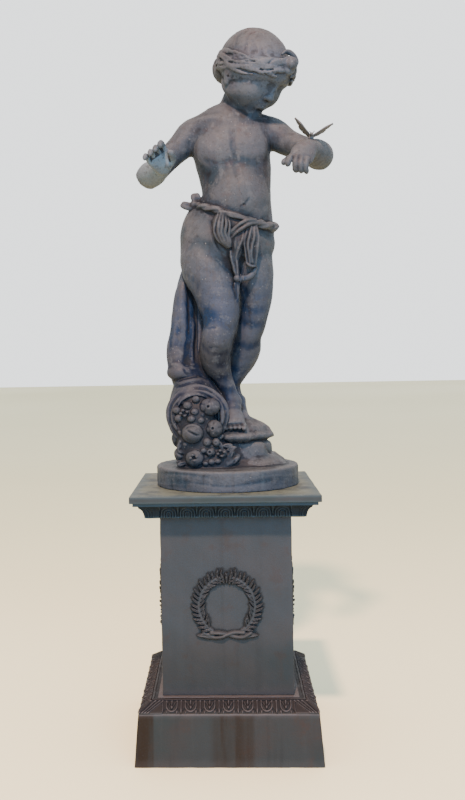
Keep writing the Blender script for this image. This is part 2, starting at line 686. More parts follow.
def carve_curls(figure):
    """Loose curls before the ears and over the temples, and a few faint strands on the crown."""
    for side in (-1, 1):
        for k in range(6):
            azimuth, reach = 62 + 7 * k, 16 + 5 * (k % 3) + 3 * k
            places = [(azimuth + 4 * math.sin(4.4 * t + k) + 8 * t,
                       roll_height(azimuth) - 12 - reach * t, 3 + 2 * math.sin(3.1 * t))
                      for t in np.linspace(0, 1, 7)]
            lock(figure, side, places, 5.0, 3.5)
        for k in range(30):
            azimuth = 8 + 5.4 * k + rng.uniform(-4, 4)
            top = rng.uniform(48, 84)
            foot = max(roll_height(azimuth) + 24, top - rng.uniform(24, 44))
            if top - foot < 14:
                continue
            line = [around_head(side * (azimuth + 16 * (1 - t) + 4 * math.sin(5 * t + k)),
                                top + (foot - top) * t, 1) for t in np.linspace(0, 1, 6)]
            width, height = rng.uniform(2.6, 5.0), rng.uniform(0.7, 1.4)
            figure.stroke(line, width, height if k % 2 else -height, samples=18)
    for line in (((77, 43), (70, 55), (56, 50), (44, 56), (31, 61)), ((60, 66), (48, 72), (30, 70), (14, 78)),
                 ((96, 50), (88, 62), (74, 68)), ((20, 62), (34, 68), (50, 62))):
        figure.stroke([around_head(a, up, 3) for a, up in line], 2.2, -1.8, samples=20)


# ------------------------------------------------------------------ drapery
THROUGH = Y     # strokes on cloth and fruit reach far along it, from the front towards the back


def twisted(angle, t):
    """Twisted cloth: two thick strands with finer creases along them, uneven from place to place."""
    strands = 0.15 * np.cos(2 * angle + 54 * t + 1.4 * np.sin(9 * t))
    return 1 + strands + 0.09 * np.cos(5 * angle + 76 * t + 2 * np.sin(17 * t))


def carve_belt(figure):
    """Thin cloth twisted into a rope round the hips, with a knot and its two ends at one side."""
    for path in (
        [[-63, -22, 1380, 9], [-44, -58, 1371, 8], [-16, -78, 1362, 8.5], [8, -86, 1352, 8],
         [46, -88, 1339, 8.5], [76, -82, 1329, 9], [108, -64, 1321, 10], [136, -22, 1320, 11],
         [141, 6, 1324, 11]],
        [[141, 0, 1324, 12], [124, 50, 1334, 10], [70, 88, 1344, 10], [10, 92, 1354, 10],
         [-44, 66, 1366, 10], [-66, 10, 1376, 10], [-64, -20, 1380, 10]],
    ):
        figure.limb(path, 110, 2, flutes=twisted)
    figure.ball((-64, -20, 1381), (17, 16, 15), 3)
    for turn in (0.8 + 1.1 * k for k in range(3)):
        figure.stroke([(-64 + 17 * math.cos(turn + t), -38, 1381 + 15 * math.sin(turn + 2 * t))
                       for t in (-0.8, 0, 0.8)], 2.2, -3.0, THROUGH, 0.3)
    figure.limb([[-63, -18, 1378, 8, 11], [-80, -20, 1377, 10, 12], [-95, -22, 1382, 9, 11],
                 [-99, -22, 1384, 6, 8]], 14, 2, across=Z, flutes=lobes(3, 0.2, 2))
    figure.limb([[-62, -16, 1384, 8, 10], [-63, -18, 1398, 12, 12], [-64, -18, 1408, 11, 9]],
                12, 2, flutes=lobes(3, 0.2, 2))


def pleat(figure, places, thick):
    """A narrow fold of cloth through [x, y, z] places, finer at both ends."""
    swell = 0.55 + 0.45 * np.sin(np.pi * np.linspace(0.1, 0.9, len(places)))
    stations = [[*p, thick * s, thick * 1.15 * s] for p, s in zip(places, swell)]
    figure.limb(stations, 5 * len(stations), 2.6, cap=1.0)


def carve_loincloth(figure):
    """Two falls of pleats gathered at the belt, swags between them, a knot and a tail below."""
    for body in (
        [[4, -80, 1348, 15, 9], [0, -84, 1318, 21, 9], [6, -82, 1292, 18, 9], [18, -76, 1264, 6, 7]],
        [[46, -82, 1310, 22, 8], [46, -84, 1286, 21, 9], [42, -78, 1256, 14, 9], [38, -72, 1230, 8, 8]],
        [[82, -78, 1322, 12, 8], [80, -83, 1296, 17, 9], [78, -80, 1262, 17, 9], [78, -75, 1230, 13, 8],
         [80, -72, 1214, 10, 5]],
        [[30, -68, 1268, 14, 8], [34, -70, 1236, 12, 8], [38, -68, 1208, 9, 8], [41, -66, 1190, 7, 7],
         [40, -58, 1156, 7, 9], [38, -48, 1120, 6, 8], [38, -46, 1090, 4, 6]],
        [[46, -66, 1184, 7, 6], [64, -66, 1185, 8, 6], [80, -66, 1196, 8, 6], [90, -66, 1212, 5, 5]],
        [[16, -84, 1346, 14, 9], [34, -86, 1328, 18, 9], [52, -86, 1316, 20, 9], [72, -82, 1312, 14, 8]],
        [[22, -82, 1312, 12, 9], [34, -82, 1288, 14, 9], [40, -78, 1262, 10, 8]],
    ):
        figure.limb(body, 6 * len(body), 3)
    for places, thick in (
        ([(-4, -88, 1350), (-13, -92, 1324), (-16, -90, 1302), (-6, -87, 1282), (13, -80, 1267)], 4.6),
        ([(2, -92, 1350), (-4, -96, 1321), (-5, -95, 1298), (4, -90, 1278), (16, -82, 1265)], 4.6),
        ([(8, -94, 1348), (5, -98, 1318), (3, -97, 1298), (11, -92, 1278), (19, -84, 1264)], 4.4),
        ([(14, -94, 1342), (15, -98, 1317), (12, -97, 1298), (18, -92, 1278), (22, -85, 1264)], 4.2),
        ([(21, -94, 1336), (24, -96, 1314), (21, -94, 1292), (25, -90, 1276), (25, -84, 1266)], 3.8),
        ([(-2, -90, 1354), (22, -95, 1347), (44, -97, 1342), (66, -94, 1335)], 5.0),
        ([(8, -92, 1347), (28, -97, 1340), (48, -98, 1336), (70, -95, 1331)], 4.6),
        ([(90, -86, 1331), (69, -97, 1328), (50, -99, 1319), (34, -96, 1306), (25, -92, 1295)], 5.0),
        ([(97, -80, 1325), (76, -94, 1320), (56, -97, 1309), (39, -95, 1298), (29, -90, 1287)], 5.0),
        ([(71, -86, 1314), (65, -90, 1296), (60, -88, 1276), (62, -84, 1250), (67, -80, 1222)], 3.8),
        ([(79, -90, 1312), (73, -93, 1290), (69, -91, 1266), (72, -86, 1240), (74, -82, 1222)], 3.8),
        ([(86, -88, 1310), (85, -92, 1286), (80, -90, 1266), (77, -87, 1246), (80, -82, 1224)], 3.8),
        ([(93, -84, 1308), (96, -86, 1284), (92, -84, 1250), (88, -78, 1220)], 3.8),
        ([(64, -80, 1224), (70, -82, 1217), (79, -80, 1214), (89, -74, 1214)], 3.4),
        ([(58, -90, 1300), (54, -92, 1280), (44, -87, 1256), (38, -80, 1236)], 3.6),
        ([(24, -78, 1254), (28, -77, 1230), (34, -75, 1204), (38, -72, 1192)], 3.4),
        ([(38, -80, 1250), (40, -78, 1224), (42, -75, 1200), (42, -73, 1190)], 3.2),
        ([(40, -68, 1176), (42, -64, 1150), (39, -56, 1120), (38, -52, 1098)], 3.0),
        ([(34, -68, 1172), (35, -62, 1146), (36, -54, 1116)], 2.6),
    ):
        pleat(figure, places, thick)
    figure.ball((41, -70, 1184), (9.5, 9, 9), 1.5)
    figure.strokes((
        ([(-26, -70, 1334), (-22, -80, 1318), (-19, -82, 1288), (-2, -80, 1254), (18, -74, 1222),
          (29, -66, 1190)], 3.0, -4.4),
        ([(23, -98, 1334), (34, -100, 1329), (49, -98, 1327)], 2.2, -3.4),
        ([(34, -96, 1288), (31, -90, 1268), (33, -86, 1244)], 2.6, -3.6),
        ([(58, -86, 1270), (56, -80, 1240), (54, -76, 1210), (50, -72, 1194)], 3.2, -4.0),
        ([(53, -68, 1176), (66, -68, 1174), (85, -62, 1182)], 2.4, -3.0),
        ([(54, -70, 1190), (68, -70, 1196), (84, -68, 1210)], 2.2, -2.6),
        ([(48, -74, 1192), (48, -74, 1178)], 2.0, -2.4),
    ), THROUGH, 0.25)


def carve_back_cloth(figure):
    """The cloth's plain back over the seat, with wide shallow folds and a rolled hem."""
    figure.limb([
        [40, 52, 1356, 58, 35], [33, 58, 1316, 83, 37], [29, 60, 1268, 89, 37], [31, 54, 1222, 85, 36],
        [33, 50, 1200, 82, 33]
    ], 40, 3, flutes=lambda angle, t: 1 + 0.03 * t * np.sin(13 * angle + 2 * t))
    hem = [(33 + 83 * math.cos(a), 52 + 34 * math.sin(a), 1198 + 3 * math.sin(7 * a))
           for a in np.linspace(0.15, math.pi - 0.15, 15)]
    figure.stroke(hem, 4.0, 2.0, samples=50)
    for x, lean in ((-34, 8), (0, 4), (34, -2), (66, -6), (98, -12)):
        figure.stroke([(x + lean, 92, 1340), (x + 2, 96, 1290), (x - lean / 2, 88, 1205)], 7, -2.0,
                      THROUGH, 0.3)


# ------------------------------------------------------------------ horn and fruit
def carve_horn(figure):
    """A tall horn muffled in cloth: one broad flap, a deep slit, wraps at the neck, a rolled rim."""
    figure.limb([
        [-56, 50, 1262, 26, 26], [-67, 48, 1222, 37, 38], [-74, 46, 1176, 47, 46], [-75, 46, 1132, 51, 50],
        [-77, 42, 1066, 51, 52], [-87, 38, 1030, 55, 54], [-92, 32, 984, 57, 56], [-89, 20, 944, 53, 54],
        [-81, 2, 916, 52, 50], [-77, -18, 886, 64, 56], [-73, -38, 858, 73, 58], [-71, -52, 830, 75, 54],
        [-70, -56, 800, 65, 46], [-70, -54, 782, 40, 30]
    ], 60, 5, flutes=lobes(3, 0.05, 1.2))
    figure.limb([
        [-90, 34, 1196, 12, 16], [-104, 12, 1158, 18, 26], [-110, 2, 1100, 22, 28], [-112, 0, 1050, 26, 28],
        [-118, -4, 1004, 30, 28], [-116, -16, 962, 28, 26], [-108, -24, 938, 22, 22]
    ], 30, 5)                                              # the broad flap
    figure.ball((-112, -26, 944), (34, 28, 22), 12)           # the cloth bags above the neck
    figure.stroke([(-80, -6, 1180), (-74, -8, 1140), (-70, -8, 1096), (-68, -8, 1050), (-74, -14, 1006),
                   (-74, -20, 966)], 9.0, -11, THROUGH, 0.3)
    figure.strokes((
        ([(-96, -14, 1186), (-88, -18, 1146), (-84, -20, 1104), (-80, -20, 1056), (-84, -24, 1016),
          (-92, -30, 980)], 2.6, -3.0),
        ([(-76, 6, 1082), (-76, 0, 1052), (-79, -8, 1016), (-79, -14, 985), (-76, -22, 958)], 4.0, 7.0),
        ([(-64, 10, 1120), (-62, 6, 1080), (-62, 2, 1030), (-64, -8, 990)], 3.6, 4.0),
        ([(-112, -20, 1176), (-116, -26, 1120), (-114, -28, 1064), (-122, -30, 1010)], 7.0, -2.2),
        ([(-98, -22, 1140), (-96, -26, 1090), (-97, -28, 1040), (-104, -34, 990)], 5.0, 1.8),
        ([(-128, -10, 1080), (-136, -20, 1030), (-134, -30, 984)], 5.0, -1.6),
        ([(-142, -20, 962), (-122, -44, 968), (-100, -48, 962)], 5.0, 2.2),
        ([(-104, -46, 956), (-96, -52, 944), (-84, -54, 938)], 3.2, -2.6),
        ([(-130, -34, 926), (-108, -54, 929), (-82, -58, 934), (-54, -52, 937), (-38, -38, 930)], 3.6, -5.0),
        ([(-134, -40, 918), (-108, -60, 920), (-80, -66, 927), (-52, -62, 929), (-32, -46, 920)], 3.4, 3.2),
        ([(-134, -44, 908), (-108, -66, 910), (-80, -72, 918), (-50, -68, 919), (-28, -52, 908)], 3.0, -4.2),
        ([(-150, -30, 880), (-148, -44, 850), (-146, -50, 820)], 5.0, -3.0),
    ), THROUGH, 0.3)
    rim, inner = [], []
    for angle in np.radians(np.linspace(-52, 228, 17)):
        across, up = math.cos(angle), math.sin(angle)
        uneven = 1.5 * math.sin(5 * angle)
        rim.append([-67 + (71 + uneven) * across, -80 + 10 * up, 836 + (68 + uneven) * up, 5, 10])
        inner.append([-66 + 63 * across, -88 + 8 * up, 836 + 60 * up, 3.5, 6])
    figure.limb(rim, 56, 4, across=-Y)
    figure.limb(inner, 56, 1.5, across=-Y)
    figure.cut(Ball((-66, -98, 832), (58, 44, 56)), 2)
    parting = [(-68 + 68 * math.cos(a), -100 + 10 * math.sin(a), 836 + 65 * math.sin(a))
               for a in np.radians(np.linspace(-40, 220, 17))]
    figure.stroke(parting, 2.4, -4.0, THROUGH, 0.4, samples=50)


def fruit(figure, centre, wide, tall, kind):
    """One round fruit: crowned with sepals, creased like a peach, pitted, or a small ringed one."""
    centre = np.asarray(centre, dtype=float)
    figure.ball(centre, (wide, wide, tall), 1.2)
    tip = centre + (-0.15 * wide, -0.96 * wide, 0.12 * tall)
    if kind == "crowned":
        for angle in (k * math.pi / 3 + 0.3 for k in range(6)):
            out = np.array((math.cos(angle), 0.0, math.sin(angle)))
            figure.stroke([tip + out * 3, tip + out * 8 + (0, 1.0, 0)], 2.2, 3.4)
        figure.cut(Ball(tip, (2.6, 4.5, 2.6)), 1)
        for angle in (k * 1.2566 + 0.2 for k in range(5)):
            figure.stroke([tip + (10 * math.cos(angle), 2, 9 * math.sin(angle)),
                           centre + (wide * math.cos(angle), -0.2 * wide, tall * math.sin(angle))],
                          3.4, -1.8, THROUGH, 0.2)
    elif kind == "creased":
        crease = [centre + (-0.55 * wide, -0.8 * wide, 0.42 * tall), tip + (0, -1, 0),
                  centre + (0.3 * wide, -0.92 * wide, -0.1 * tall),
                  centre + (0.6 * wide, -0.7 * wide, -0.2 * tall)]
        figure.stroke(crease, 2.4, -3.4, THROUGH, 0.2)
        figure.stroke([c + (2, 0, 6) for c in crease], 4.0, 2.0, THROUGH, 0.2)
        figure.stroke([centre + (0.72 * wide * math.cos(a), -0.6 * wide, 0.72 * tall * math.sin(a))
                       for a in np.linspace(0.2, 5.4, 12)], 2.6, -2.0, THROUGH, 0.2, samples=30)
    elif kind == "pitted":
        figure.cut(Ball(tip + (0, -1, 0), (6.5, 8, 5)), 3)
        for angle in (0.4, 1.9, 3.3, 4.9):
            figure.ball(tip + (8.5 * math.cos(angle), 1, 7 * math.sin(angle)), (4.5, 4, 3.6), 1)
    elif kind == "ringed":
        figure.cut(Ball(tip + (0, -1, 0), (wide * 0.34, 3.4, wide * 0.34)), 0.8)
        figure.ball(tip + (0, 0.5, 0), (wide * 0.16, 2.4, wide * 0.16), 0.5)


def carve_fruit(figure):
    """Fruit heaped in the mouth and tumbling to the round base, bedded in leaves and berries."""
    figure.limb([
        [-72, -62, 868, 34, 28], [-72, -74, 836, 50, 31], [-72, -76, 790, 50, 33], [-62, -72, 750, 64, 38],
        [-42, -60, 702, 90, 54]
    ], 20, 4)
    for k in range(120):
        z = 712 + 160 * rng.uniform(0, 1)
        middle, reach, front = (np.interp(z, (704, 750, 790, 870), places) for places in (
            (-38, -56, -72, -70), (84, 66, 46, 36), (-104, -104, -102, -84)))
        x = middle + rng.uniform(-1, 1) * reach
        foot = np.array((x, front + 0.004 * (x - middle) ** 2, z))
        if k % 2:
            figure.ball(foot, rng.uniform(4.0, 7.0), 1)
        else:
            leaf(figure, foot, rng.uniform(0, 6.28), rng.uniform(0.7, 1.0))
    for x, y, z, wide, tall, kind in (
        (-35, -92, 857, 26, 22, "crowned"), (-25, -96, 802, 22, 22, "crowned"),
        (-79, -100, 792, 28, 27, "creased"), (-73, -100, 729, 25, 24, "pitted"),
        (-113, -82, 738, 16, 18, "creased"), (-119, -62, 776, 16, 19, "plain"),
        (-70, -94, 877, 10, 9, "ringed"), (-91, -96, 861, 11, 10, "ringed"),
        (-119, -88, 849, 11, 10, "ringed"), (-98, -100, 843, 11, 9, "pitted"),
        (-73, -102, 846, 10, 9, "ringed"), (-82, -104, 828, 11, 9, "ringed"),
        (-58, -104, 824, 9, 8, "ringed"), (-114, -92, 829, 11, 10, "plain"), (-53, -98, 838, 8, 8, "plain"),
        (-43, -106, 769, 11, 11, "ringed"), (-20, -106, 768, 10, 11, "ringed"),
        (-35, -108, 744, 13, 12, "crowned"), (-6, -104, 740, 13, 12, "pitted"),
        (-33, -112, 720, 8, 8, "ringed"), (-17, -110, 721, 8, 7, "ringed"), (-52, -108, 748, 9, 8, "plain"),
        (-96, -98, 764, 9, 8, "plain"), (-48, -110, 716, 8, 7, "plain"),
    ):
        fruit(figure, (x, y, z), wide, tall, kind)
    for x, y, z, turn, size in (
        (10, -96, 748, 0.3, 1.0), (14, -96, 730, 1.2, 1.0), (4, -102, 718, 2.4, 1.0),
        (-60, -110, 712, 2.9, 0.9), (22, -94, 714, 0.9, 1.0), (0, -96, 758, 0.1, 1.0),
        (-6, -104, 752, 1.9, 0.9), (-122, -66, 758, 2.0, 1.1), (-100, -94, 716, 3.4, 1.0),
    ):
        leaf(figure, np.array((x, y, z), dtype=float), turn, size)


def leaf(figure, foot, turn, size):
    """A small pointed leaf lying on the heap, with a groove down its middle."""
    along = np.array((math.cos(turn), -0.15, math.sin(turn)))
    across = np.array((-math.sin(turn), 0.0, math.cos(turn)))
    figure.add(Ball(foot + along * 9 * size, (13 * size, 4.2, 6 * size), (unit(along), Y, across)), 0.8)
    figure.stroke([foot - (0, 4, 0), foot + along * 18 * size - (0, 3, 0)], 1.6, -2.4)


# ------------------------------------------------------------------ rock and round base
DISC_X, DISC_RADIUS, DISC_TOP, CAP_TOP, GAP = 7.0, 185.0, 703.0, 651.0, 0.3


def carve_rock(figure):
    """A drum of rock on a spreading foot, and over a deep undercut a slab that rises to the heel."""
    rough = ((3, 0.05, 0.6, 0.0), (5, 0.04, -0.6, 0.02), (11, 0.020, 1.0, 0.05), (23, 0.010, 0.3, -0.12))
    figure.add(Block((24, 4), (98, 95), [[763, 0.80], [770, 0.92], [775, 0.99], [781, 1.0], [786, 0.95],
                                         [792, 0.82]], rough), 4)
    figure.add(Block((32, 10), (90, 86), [[772, 1.02], [788, 0.98], [797, 0.92], [804, 0.86], [813, 0.68],
                                          [822, 0.48], [830, 0.3]], rough), 6)
    rough = ((3, 0.05, 1.1, 0.0), (5, 0.04, -1.1, 0.03), (12, 0.020, 2.0, 0.04), (25, 0.008, 0.8, -0.1))
    figure.add(Block((20, 6), (90, 80), [[736, 0.98], [752, 0.97], [768, 0.93], [776, 0.9]], rough), 3)
    rough = ((3, 0.05, 2.2, 0.0), (5, 0.04, -2.2, 0.02), (9, 0.015, 0.4, 0.06))
    figure.add(Block((18, 4), (103, 85), [[699, 1.12], [706, 1.04], [714, 1.0], [736, 0.99], [752, 0.97],
                                          [759, 0.94], [764, 0.86]], rough), 3)
    figure.add(Block((34, 14), (130, 112), [[696, 1.0], [706, 0.98], [712, 0.93], [720, 0.84], [730, 0.74]],
                     rough), 6)
    figure.strokes((
        ([(28, -90, 794), (44, -84, 800), (66, -72, 806), (84, -54, 808)], 5, -2.2),
        ([(60, -90, 786), (70, -78, 797), (96, -52, 800)], 6, -2.0),
        ([(100, -40, 794), (112, -10, 800), (104, 24, 806)], 6, -2.4),
        ([(40, -84, 742), (62, -82, 736), (90, -66, 740)], 6, -1.6),
        ([(84, -70, 758), (92, -64, 740), (88, -66, 720)], 5, -1.8),
        ([(50, -84, 756), (54, -86, 736), (50, -88, 714)], 6, 1.4),
        ([(112, -40, 752), (118, -20, 730), (122, -8, 712)], 6, -2.0),
    ))


def carve_disc(figure):
    """The round base: slightly uneven round the side, with faint ridges along it and a low rim."""
    figure.add(Block((DISC_X, 0), (DISC_RADIUS, DISC_RADIUS), [[CAP_TOP + GAP - 12, 1], [DISC_TOP, 1]],
                     ((3, 0.0024, 0.4, 0), (7, 0.0016, 1.4, 0.02), (17, 0.0010, 0.2, 0.05)), 5), 3)
    for z, start, end, height in ((691, 3.4, 4.6, -1.2), (672, 3.9, 5.6, -1.0), (683, 4.9, 6.0, 1.0),
                                  (664, 3.3, 4.1, 1.0), (679, 0.2, 2.8, -0.8)):
        ridge = [(DISC_X + DISC_RADIUS * math.cos(a), DISC_RADIUS * math.sin(a), z + 4 * math.sin(5 * a))
                 for a in np.linspace(start, end, 9)]
        figure.stroke(ridge, 3.0, height, samples=30)


def carve_details(figure):
    """Lines of the body: breastbone, collarbones, spine, navel, knees."""
    figure.strokes((
        ([(36, -66, 1572), (36, -72, 1530), (42, -74, 1488)], 9, -3.2),
        ([(42, -74, 1480), (46, -80, 1440), (54, -86, 1396)], 7, -1.6),
        ([(22, -46, 1598), (-14, -44, 1606), (-52, -28, 1604)], 8, 3.4),
        ([(62, -46, 1598), (92, -42, 1604), (126, -26, 1602)], 8, 3.0),
        ([(-46, -52, 1500), (-22, -66, 1484), (8, -70, 1480), (30, -70, 1490)], 7, -1.4),
        ([(50, -70, 1494), (72, -72, 1488), (98, -66, 1492), (116, -52, 1504)], 7, -1.4),
        ([(36, 58, 1600), (36, 64, 1540), (40, 62, 1470), (42, 66, 1400), (40, 74, 1364)], 9, -5),
        ([(50, -90, 1366), (58, -92, 1368), (66, -91, 1376), (76, -88, 1388)], 2.8, -3.0),
        ([(58, -92, 1362), (66, -92, 1364), (72, -90, 1372)], 3.4, 1.6),
        ([(-44, -84, 1052), (-22, -96, 1058), (6, -88, 1050)], 5, -1.3),
        ([(-38, -84, 1012), (-20, -92, 1006), (0, -84, 1012)], 5, -1.6),
        ([(-90, -54, 1346), (-70, -74, 1318), (-44, -84, 1290), (-20, -80, 1262)], 6, -2.2),
    ))
    figure.cut(Ball((61, -92, 1370), (5, 6, 2.6), (unit((1, 0, 0.7)), Y, unit((-0.7, 0, 1)))), 3)


def carve_statue(step):
    figure = Carving((-216, -226, CAP_TOP - 4), (298, 188, 1834), step)
    for carve in (carve_torso, carve_legs, carve_arms, carve_skull):
        carve(figure)
    figure.soften(4)
    for carve in (carve_creases, carve_raised_hand, carve_lowered_hand, carve_eyes, carve_nose, carve_mouth,
                  carve_ears, carve_hair, carve_details, carve_feet, carve_disc, carve_rock, carve_horn,
                  carve_fruit, carve_back_cloth, carve_loincloth, carve_belt):
        carve(figure)
    figure.keep(lambda x, y, z: CAP_TOP + GAP - z)
    return figure


# ------------------------------------------------------------------ meshes
def mesh_object(name, points, faces):
    """An object from points in millimetres from the pedestal's axis."""
    mesh = bpy.data.meshes.new(name)
    points = np.asarray(points, dtype=np.float32) * MM + np.array(AXIS, dtype=np.float32)
    faces = np.asarray(faces, dtype=np.int32)
    corners = faces.shape[1]
    mesh.vertices.add(len(points))
    mesh.vertices.foreach_set("co", points.ravel())
    mesh.loops.add(faces.size)
    mesh.loops.foreach_set("vertex_index", faces.ravel())
    mesh.polygons.add(len(faces))
    mesh.polygons.foreach_set("loop_start", np.arange(0, faces.size, corners, dtype=np.int32))
    mesh.polygons.foreach_set("loop_total", np.full(len(faces), corners, dtype=np.int32))
    mesh.update(calc_edges=True)
    mesh.validate()
    made = bpy.data.objects.new(name, mesh)
    bpy.context.scene.collection.objects.link(made)
    return made


def modified(piece, kind, **settings):
    """Applies one modifier to a piece."""
    modifier = piece.modifiers.new(kind.lower(), kind)
    for key, value in settings.items():
        setattr(modifier, key, value)
    bpy.context.view_layer.update()
    evaluated = piece.evaluated_get(bpy.context.evaluated_depsgraph_get())
    old = piece.data
    new = bpy.data.meshes.new_from_object(evaluated)
    piece.modifiers.clear()
    piece.data = new
    new.name = old.name
    bpy.data.meshes.remove(old)


def surface(figure):
    """Points in millimetres and four-sided faces of a carving's surface."""
    volume = openvdb.FloatGrid()
    volume.copyFromArray(np.clip(figure.field, -FAR, FAR))
    points, _, quads = volume.convertToPolygons(isovalue=0.0, adaptivity=0.0)
    return points * figure.step + figure.low, quads


def largest_part(points, faces):
    """Only the largest connected part of a surface."""
    label = np.arange(len(points))
    while True:
        low = label[faces].min(axis=1)
        new = label.copy()
        for k in range(faces.shape[1]):
            np.minimum.at(new, faces[:, k], low)
        new = new[new]
        if np.array_equal(new, label):
            break
        label = new
    names, counts = np.unique(label, return_counts=True)
    kept = label == names[counts.argmax()]
    order = np.cumsum(kept) - 1
    return points[kept], order[faces[kept[faces].all(axis=1)]]


def smoothed(values, edges, rounds):
    """Values at the vertices averaged with their neighbours."""
    count = np.bincount(edges.ravel(), minlength=len(values)).astype(np.float32)[:, None]
    for _ in range(rounds):
        total = np.zeros_like(values)
        for k in range(values.shape[1]):
            total[:, k] = np.bincount(edges[:, 0], values[edges[:, 1], k], len(values))
            total[:, k] += np.bincount(edges[:, 1], values[edges[:, 0], k], len(values))
        values = 0.5 * values + 0.5 * total / np.maximum(count, 1)
    return values


def mark_hollows(piece, rounds, depth, wide):
    """Stores how deep in a hollow, or how far out on an edge, each vertex lies: 0.5 is level.

    A number of wide rounds also counts the broad hollows between masses.
    """
    mesh = piece.data
    place, normal = (np.empty(3 * len(mesh.vertices), dtype=np.float32) for _ in range(2))
    mesh.vertices.foreach_get("co", place)
    mesh.vertices.foreach_get("normal", normal)
    place, normal = place.reshape(-1, 3), normal.reshape(-1, 3)
    edges = np.empty(2 * len(mesh.edges), dtype=np.int32)
    mesh.edges.foreach_get("vertices", edges)
    edges = edges.reshape(-1, 2)

    def behind(times):
        return ((smoothed(place, edges, times) - place) * normal).sum(axis=1, keepdims=True)

    level = 0.5 - 0.5 * behind(rounds) / depth
    if wide:
        level -= np.clip(0.5 * behind(wide) / (4 * depth), -0.1, 0.4)
    level = smoothed(np.clip(level, 0, 1), edges, 1)
    attribute = mesh.attributes.new("relief", "FLOAT", "POINT")
    attribute.data.foreach_set("value", level.ravel())


def carved_piece(name, points, faces):
    piece = mesh_object(name, points, faces)
    modified(piece, "SMOOTH", factor=0.5, iterations=1)
    return piece


def make_statue(step):
    points, faces = largest_part(*surface(carve_statue(step)))
    return carved_piece("statue_iron", worn(points, 0.5, 34.0), faces)


# ------------------------------------------------------------------ pedestal
BASE_FOOT, BASE_SHOULDER, SHOULDER_Z = 228.5, 218.0, 125.0
SLOPE_TOP, SLOPE_TOP_Z, LEDGE_Z, OPENING, WALL = 187.0, 146.0, 150.0, 142.0, 10.0
DIE_HALF, DIE_FOOT, DIE_TOP = 162.0, 150.3, 633.7
CAP_HALF, SLAB_FOOT, FILLET_HALF, FILLET_FOOT = 231.0, 634.0, 223.5, 626.0
COVE_FOOT, COVE_TOP, COVE_FOOT_Z = 192.0, 216.0, 593.0
LEAF_PITCH, LEAF_SPAN = 46.0, 161.0     # the moulding's leaves, and how far they run from the middle
WREATH_Z = 371.0


def square_casting(name, profile, columns, relief, corner=2.0):
    """Sweeps a closed [half width, height] outline round four sides that meet in mitres.

    Columns are places across a side as shares of its half width, and relief gives the height of
    what stands on the side at x, for the half width and the height there.
    """
    profile = np.asarray(profile, dtype=float)
    half, z = profile[:, :1], profile[:, 1:]
    run = np.roll(profile, -1, axis=0) - np.roll(profile, 1, axis=0)
    run /= np.maximum(np.linalg.norm(run, axis=1, keepdims=True), 1e-9)
    out, up = run[:, 1:], -run[:, :1]
    s = np.asarray(columns)[None, :]
    x = s * half
    height = relief(x, half, z)
    x = x + np.sign(s) * np.abs(s) ** 60 * out * height
    y = -(half + out * height)
    z = z + up * height + 0 * s
    over_x, over_y = np.abs(x) - (np.abs(y) - corner), np.full_like(x, corner)
    bend = (over_x > 0) & (np.abs(y) > 2 * corner)
    shrink = np.where(bend, corner / np.maximum(np.hypot(over_x, over_y), 1e-9), 1)
    inner = np.abs(y) - corner
    x = np.where(bend, np.sign(x) * (inner + over_x * shrink), x)
    y = np.where(bend, -(inner + over_y * shrink), y)
    sides = [(x, y), (-y, x), (-x, -y), (y, -x)]
    x, y = (np.concatenate([side[k] for side in sides], axis=1) for k in (0, 1))
    z = np.tile(z, (1, 4))
    points = np.stack([x, y, z], axis=-1)
    rows, around = x.shape
    i, j = np.meshgrid(np.arange(rows), np.arange(around), indexing="ij")
    ahead = (j + 1) % around
    here, above = i * around, (i + 1) % rows * around
    faces = np.stack([here + j, here + ahead, above + ahead, above + j], axis=-1)
    points = worn(points.reshape(-1, 3), 0.35)
    return mesh_object(name, points, faces.reshape(-1, 4))


def worn(points, depth, scale=60.0):
    """Moves points by smooth, seeded waves, so that no cast face is quite flat."""
    moved = np.array(points, dtype=float)
    for octave, strength in ((1.0, 0.6), (2.3, 0.3), (4.9, 0.14)):
        for _ in range(3):
            direction = rng.normal(size=3)
            direction *= 2 * math.pi * octave / scale / np.linalg.norm(direction)
            push = rng.normal(size=3)
            push *= depth * strength / np.linalg.norm(push)
            moved += np.sin(points @ direction + rng.uniform(0, 6.28))[:, None] * push
    return moved


def row(start, end, step):
    """Points from start up to, not including, end."""
    start, end = np.asarray(start, dtype=float), np.asarray(end, dtype=float)
    count = max(int(round(np.linalg.norm(end - start) / step)), 1)
    return [start + (end - start) * k / count for k in range(count)]


def closed_outline(*corners):
    """Points round a closed outline of [half width, height, spacing up to the next corner]."""
    return [point for a, b in zip(corners, (*corners[1:], corners[0])) for point in row(a[:2], b[:2], a[2])]


def even_columns(half, step):
    """Even places across a face as shares of its half width, with closer ones by the corners."""
    count = int(2 * half / step)
    inside = np.linspace(-1, 1, count, endpoint=False)
    edge = np.array((0.6, 1.4, 2.4, 3.6)) / half
    return np.unique(np.concatenate([inside, -1 + edge, 1 - edge]).round(6))


def rib(distance, width):
    """A rounded ridge across the distance from its middle line: 1 on the line, 0 at the width."""
    return np.sqrt(np.clip(1 - (distance / width) ** 2, 0, 1))


def ribs(distance, ground, rows):
    """Ground with ridges on it, each given as [place, half width, height]."""
    for place, width, height in rows:
        ground = ground + height * rib(distance - place, width)
    return ground


def repeat(x):
    """Signed distance from the middle of the nearest leaf in the row, or 99 past the row's ends."""
    inside = np.clip(x, -LEAF_SPAN, LEAF_SPAN)
    local = (inside + LEAF_PITCH / 2) % LEAF_PITCH - LEAF_PITCH / 2
    return np.where(np.abs(x) < LEAF_SPAN, local, 99.0)


